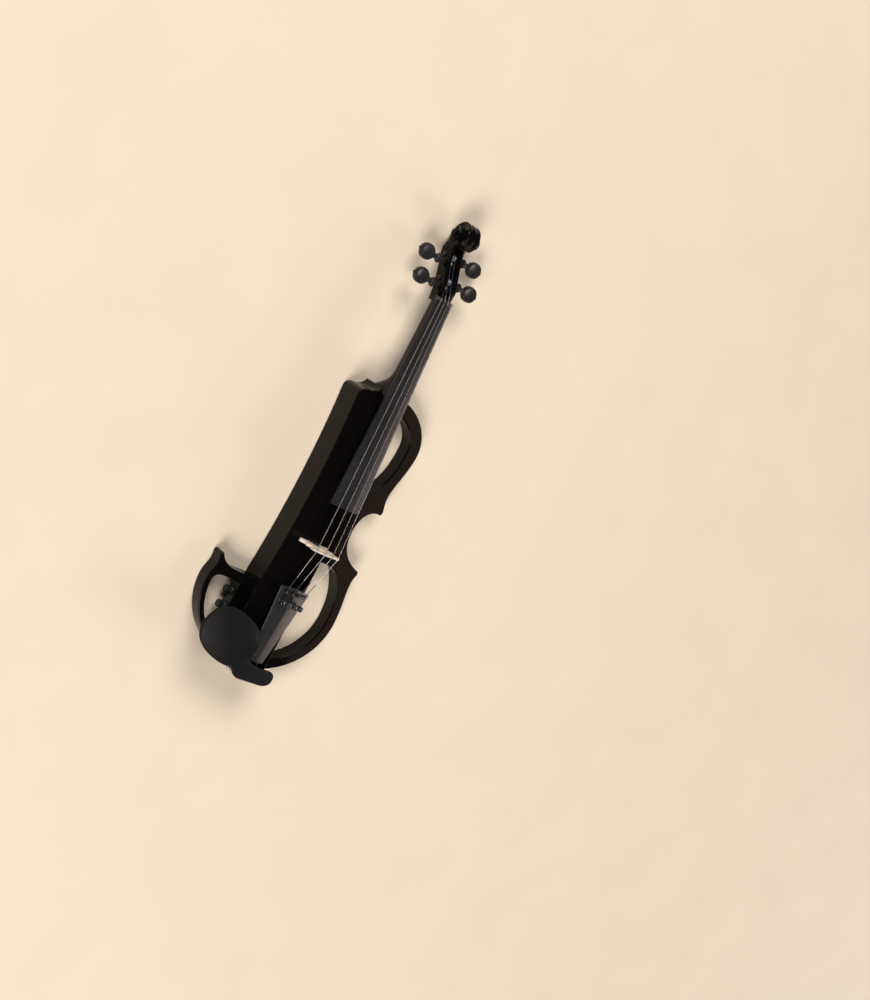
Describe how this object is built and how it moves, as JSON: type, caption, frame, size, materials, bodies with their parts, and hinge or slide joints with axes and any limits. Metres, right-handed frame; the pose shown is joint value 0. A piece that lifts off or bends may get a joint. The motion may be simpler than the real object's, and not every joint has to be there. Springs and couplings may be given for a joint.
{
  "type": "electric violin",
  "caption": "Electric violin with a narrow solid core, open bout frames, fingerboard, bridge, tailpiece with fine tuners, clamp-on chin rest and built-in controls.",
  "frame": {"origin": "on the flat back plane, straight below the middle of the bridge's feet", "axes": "+Y along the strings towards the scroll, +X towards the treble side, +Z out of the playing side"},
  "size_m": [0.198, 0.6143, 0.0824],
  "materials": {
    "gloss_black": "solid wood under a deep black gloss lacquer",
    "ebony": "satin dark hardwood",
    "maple": "pale unfinished hardwood",
    "black_plastic": "fine satin moulded plastic",
    "chin_plastic": "matt moulded plastic",
    "tail_cord": "smooth nylon cord",
    "string_steel": "wound and plain steel string",
    "nickel": "polished nickel plate",
    "screw_steel": "dark zinc-plated steel",
    "cork": "natural cork sheet",
    "circuit_green": "coated circuit laminate",
    "battery_can": "plain printed battery can"
  },
  "bodies": {
    "instrument": {"body_core": "gloss_black", "treble_frame": "gloss_black", "bass_frame": "gloss_black", "neck_and_scroll": "gloss_black", "fingerboard": "ebony", "nut": "ebony", "saddle": "ebony", "bridge": "maple", "bridge_pickup": "black_plastic", "tailpiece": "ebony", "tail_gut": "tail_cord", "end_button": "ebony", "string_g": "string_steel", "string_d": "string_steel", "string_a": "string_steel", "string_e": "string_steel", "clamp_foot": "nickel", "clamp_cork": "cork", "control_panel": "black_plastic", "volume_pot": "nickel", "tone_pot": "nickel", "switch_body": "nickel", "output_jack": "nickel", "headphone_jack": "nickel", "circuit_board": "circuit_green", "back_cover": "black_plastic", "cover_screw_1": "screw_steel", "cover_screw_2": "screw_steel", "cover_screw_3": "screw_steel", "cover_screw_4": "screw_steel"},
    "g_peg": {"peg_g": "ebony", "string_winding_g": "string_steel"},
    "d_peg": {"peg_d": "ebony", "string_winding_d": "string_steel"},
    "a_peg": {"peg_a": "ebony", "string_winding_a": "string_steel"},
    "e_peg": {"peg_e": "ebony", "string_winding_e": "string_steel"},
    "g_screw": {"tuner_screw_g": "nickel"},
    "d_screw": {"tuner_screw_d": "nickel"},
    "a_screw": {"tuner_screw_a": "nickel"},
    "e_screw": {"tuner_screw_e": "nickel"},
    "g_lever": {"tuner_lever_g": "nickel"},
    "d_lever": {"tuner_lever_d": "nickel"},
    "a_lever": {"tuner_lever_a": "nickel"},
    "e_lever": {"tuner_lever_e": "nickel"},
    "chin_rest_plate": {"chin_rest": "chin_plastic", "clamp_rod_bass": "nickel", "clamp_rod_treble": "nickel"},
    "bass_barrel": {"clamp_barrel_bass": "nickel"},
    "treble_barrel": {"clamp_barrel_treble": "nickel"},
    "volume": {"volume_knob": "black_plastic"},
    "tone": {"tone_knob": "black_plastic"},
    "switch": {"power_switch": "black_plastic"},
    "drawer": {"battery_drawer": "black_plastic", "battery": "battery_can"}
  },
  "joints": [
    {"name": "g_peg_turn", "type": "hinge", "parent": "instrument", "child": "g_peg", "pos_m": [0, 0.345, 0.034], "axis": [1, 0, 0], "continuous": true},
    {"name": "d_peg_turn", "type": "hinge", "parent": "instrument", "child": "d_peg", "pos_m": [0, 0.374, 0.02], "axis": [1, 0, 0], "continuous": true},
    {"name": "a_peg_turn", "type": "hinge", "parent": "instrument", "child": "a_peg", "pos_m": [0, 0.38299, 0.01566], "axis": [1, 0, 0], "continuous": true},
    {"name": "e_peg_turn", "type": "hinge", "parent": "instrument", "child": "e_peg", "pos_m": [0, 0.35399, 0.02966], "axis": [1, 0, 0], "continuous": true},
    {"name": "g_screw_turn", "type": "hinge", "parent": "instrument", "child": "g_screw", "pos_m": [-0.0135, -0.076, 0.055], "axis": [0, 0, 1], "range_deg": [-1440, 0]},
    {"name": "d_screw_turn", "type": "hinge", "parent": "instrument", "child": "d_screw", "pos_m": [-0.0045, -0.076, 0.055], "axis": [0, 0, 1], "range_deg": [-1440, 0]},
    {"name": "a_screw_turn", "type": "hinge", "parent": "instrument", "child": "a_screw", "pos_m": [0.0045, -0.076, 0.055], "axis": [0, 0, 1], "range_deg": [-1440, 0]},
    {"name": "e_screw_turn", "type": "hinge", "parent": "instrument", "child": "e_screw", "pos_m": [0.0135, -0.076, 0.055], "axis": [0, 0, 1], "range_deg": [-1440, 0]},
    {"name": "g_lever_tilt", "type": "hinge", "parent": "instrument", "child": "g_lever", "pos_m": [-0.0135, -0.061, 0.0488], "axis": [1, 0, 0], "range_deg": [0, 8]},
    {"name": "d_lever_tilt", "type": "hinge", "parent": "instrument", "child": "d_lever", "pos_m": [-0.0045, -0.061, 0.0488], "axis": [1, 0, 0], "range_deg": [0, 8]},
    {"name": "a_lever_tilt", "type": "hinge", "parent": "instrument", "child": "a_lever", "pos_m": [0.0045, -0.061, 0.0488], "axis": [1, 0, 0], "range_deg": [0, 8]},
    {"name": "e_lever_tilt", "type": "hinge", "parent": "instrument", "child": "e_lever", "pos_m": [0.0135, -0.061, 0.0488], "axis": [1, 0, 0], "range_deg": [0, 8]},
    {"name": "bass_barrel_turn", "type": "hinge", "parent": "instrument", "child": "bass_barrel", "pos_m": [-0.017, -0.1799, 0.023], "axis": [0, 0, 1], "range_deg": [0, 900]},
    {"name": "treble_barrel_turn", "type": "hinge", "parent": "instrument", "child": "treble_barrel", "pos_m": [0.017, -0.1799, 0.023], "axis": [0, 0, 1], "range_deg": [0, 900]},
    {"name": "chin_rest_lift", "type": "slide", "parent": "instrument", "child": "chin_rest_plate", "axis": [0, 0, 1], "range_m": [0, 0.0039]},
    {"name": "volume_turn", "type": "hinge", "parent": "instrument", "child": "volume", "pos_m": [-0.053, -0.0945, 0.011], "axis": [-1, 0, 0], "range_deg": [-150, 150]},
    {"name": "tone_turn", "type": "hinge", "parent": "instrument", "child": "tone", "pos_m": [-0.053, -0.1145, 0.011], "axis": [-1, 0, 0], "range_deg": [-150, 150]},
    {"name": "switch_slide", "type": "slide", "parent": "instrument", "child": "switch", "axis": [0, 1, 0], "range_m": [0, 0.0028]},
    {"name": "drawer_slide", "type": "slide", "parent": "instrument", "child": "drawer", "axis": [1, 0, 0], "range_m": [0, 0.028]}
  ],
  "couplings": [
    {"joint": "g_lever_tilt", "follows": "g_screw_turn", "ratio": -0.0055},
    {"joint": "d_lever_tilt", "follows": "d_screw_turn", "ratio": -0.0055},
    {"joint": "a_lever_tilt", "follows": "a_screw_turn", "ratio": -0.0055},
    {"joint": "e_lever_tilt", "follows": "e_screw_turn", "ratio": -0.0055},
    {"joint": "bass_barrel_turn", "follows": "chin_rest_lift", "rad_per_m": 4000},
    {"joint": "treble_barrel_turn", "follows": "chin_rest_lift", "rad_per_m": 4000}
  ]
}
